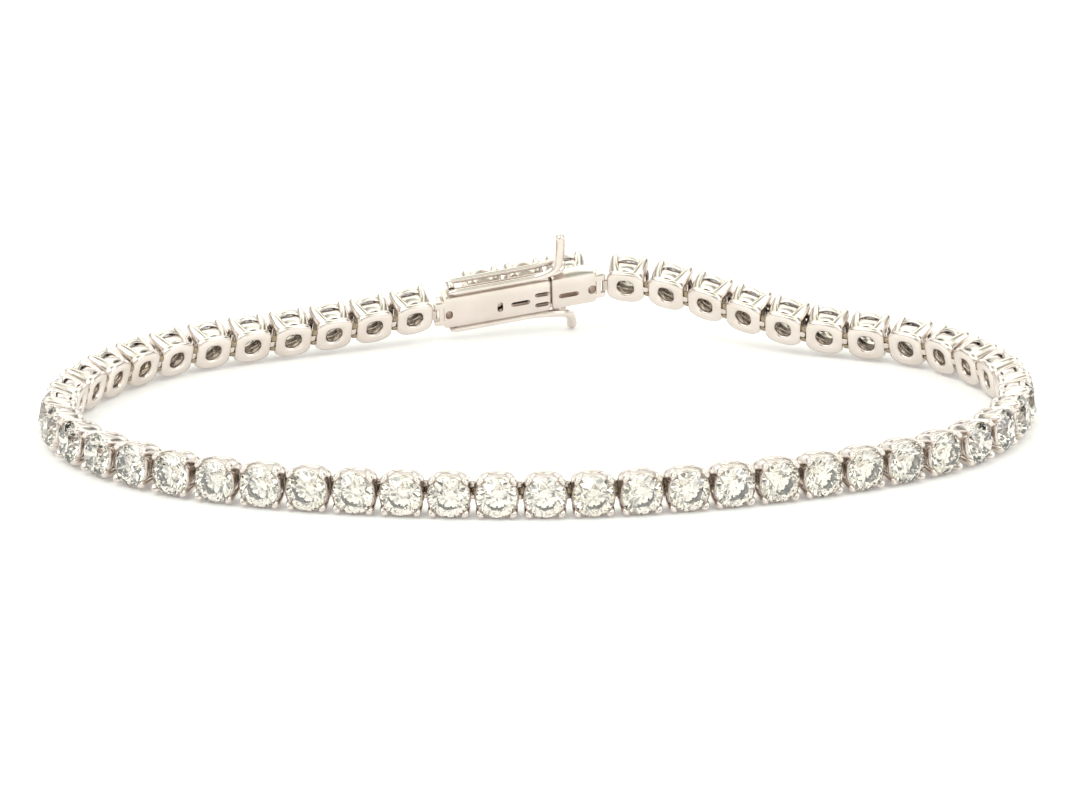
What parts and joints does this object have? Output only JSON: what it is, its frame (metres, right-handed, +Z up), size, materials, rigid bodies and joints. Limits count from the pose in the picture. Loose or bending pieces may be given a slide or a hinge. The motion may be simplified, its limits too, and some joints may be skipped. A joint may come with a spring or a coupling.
{
  "type": "tennis bracelet",
  "caption": "Flexible line bracelet of four-claw links set with round brilliants, with a box clasp and two hinged safety latches, lying on its side.",
  "frame": {"origin": "middle of the bracelet's box, on the surface that it lies on", "axes": "+X along the loop's long way, +Y from the front stones to the clasp, +Z up from the surface"},
  "size_m": [0.0732, 0.049, 0.0086],
  "materials": {
    "set_links": "polished white gold, set with stones",
    "clasp_metal": "polished white gold",
    "latch_metal": "polished white gold wire",
    "stone": "clear cut stone with a faint champagne tint"
  },
  "bodies": {
    "root": {"chain_right": "set_links", "chain_left": "set_links", "clasp_box": "clasp_metal", "clasp_tongue": "clasp_metal"},
    "latch_upper": {"latch_upper": "latch_metal"},
    "latch_lower": {"latch_lower": "latch_metal"}
  },
  "joints": [
    {"name": "latch_upper_hinge", "type": "hinge", "parent": "root", "child": "latch_upper", "pos_m": [-0.00678, 0.01936, 0.00456], "axis": [0.2412, -0.8825, -0.4038], "range_deg": [0, 100]},
    {"name": "latch_lower_hinge", "type": "hinge", "parent": "root", "child": "latch_lower", "pos_m": [-0.0067, 0.02094, 0.00116], "axis": [-0.2412, 0.8825, 0.4038], "range_deg": [0, 100]}
  ]
}
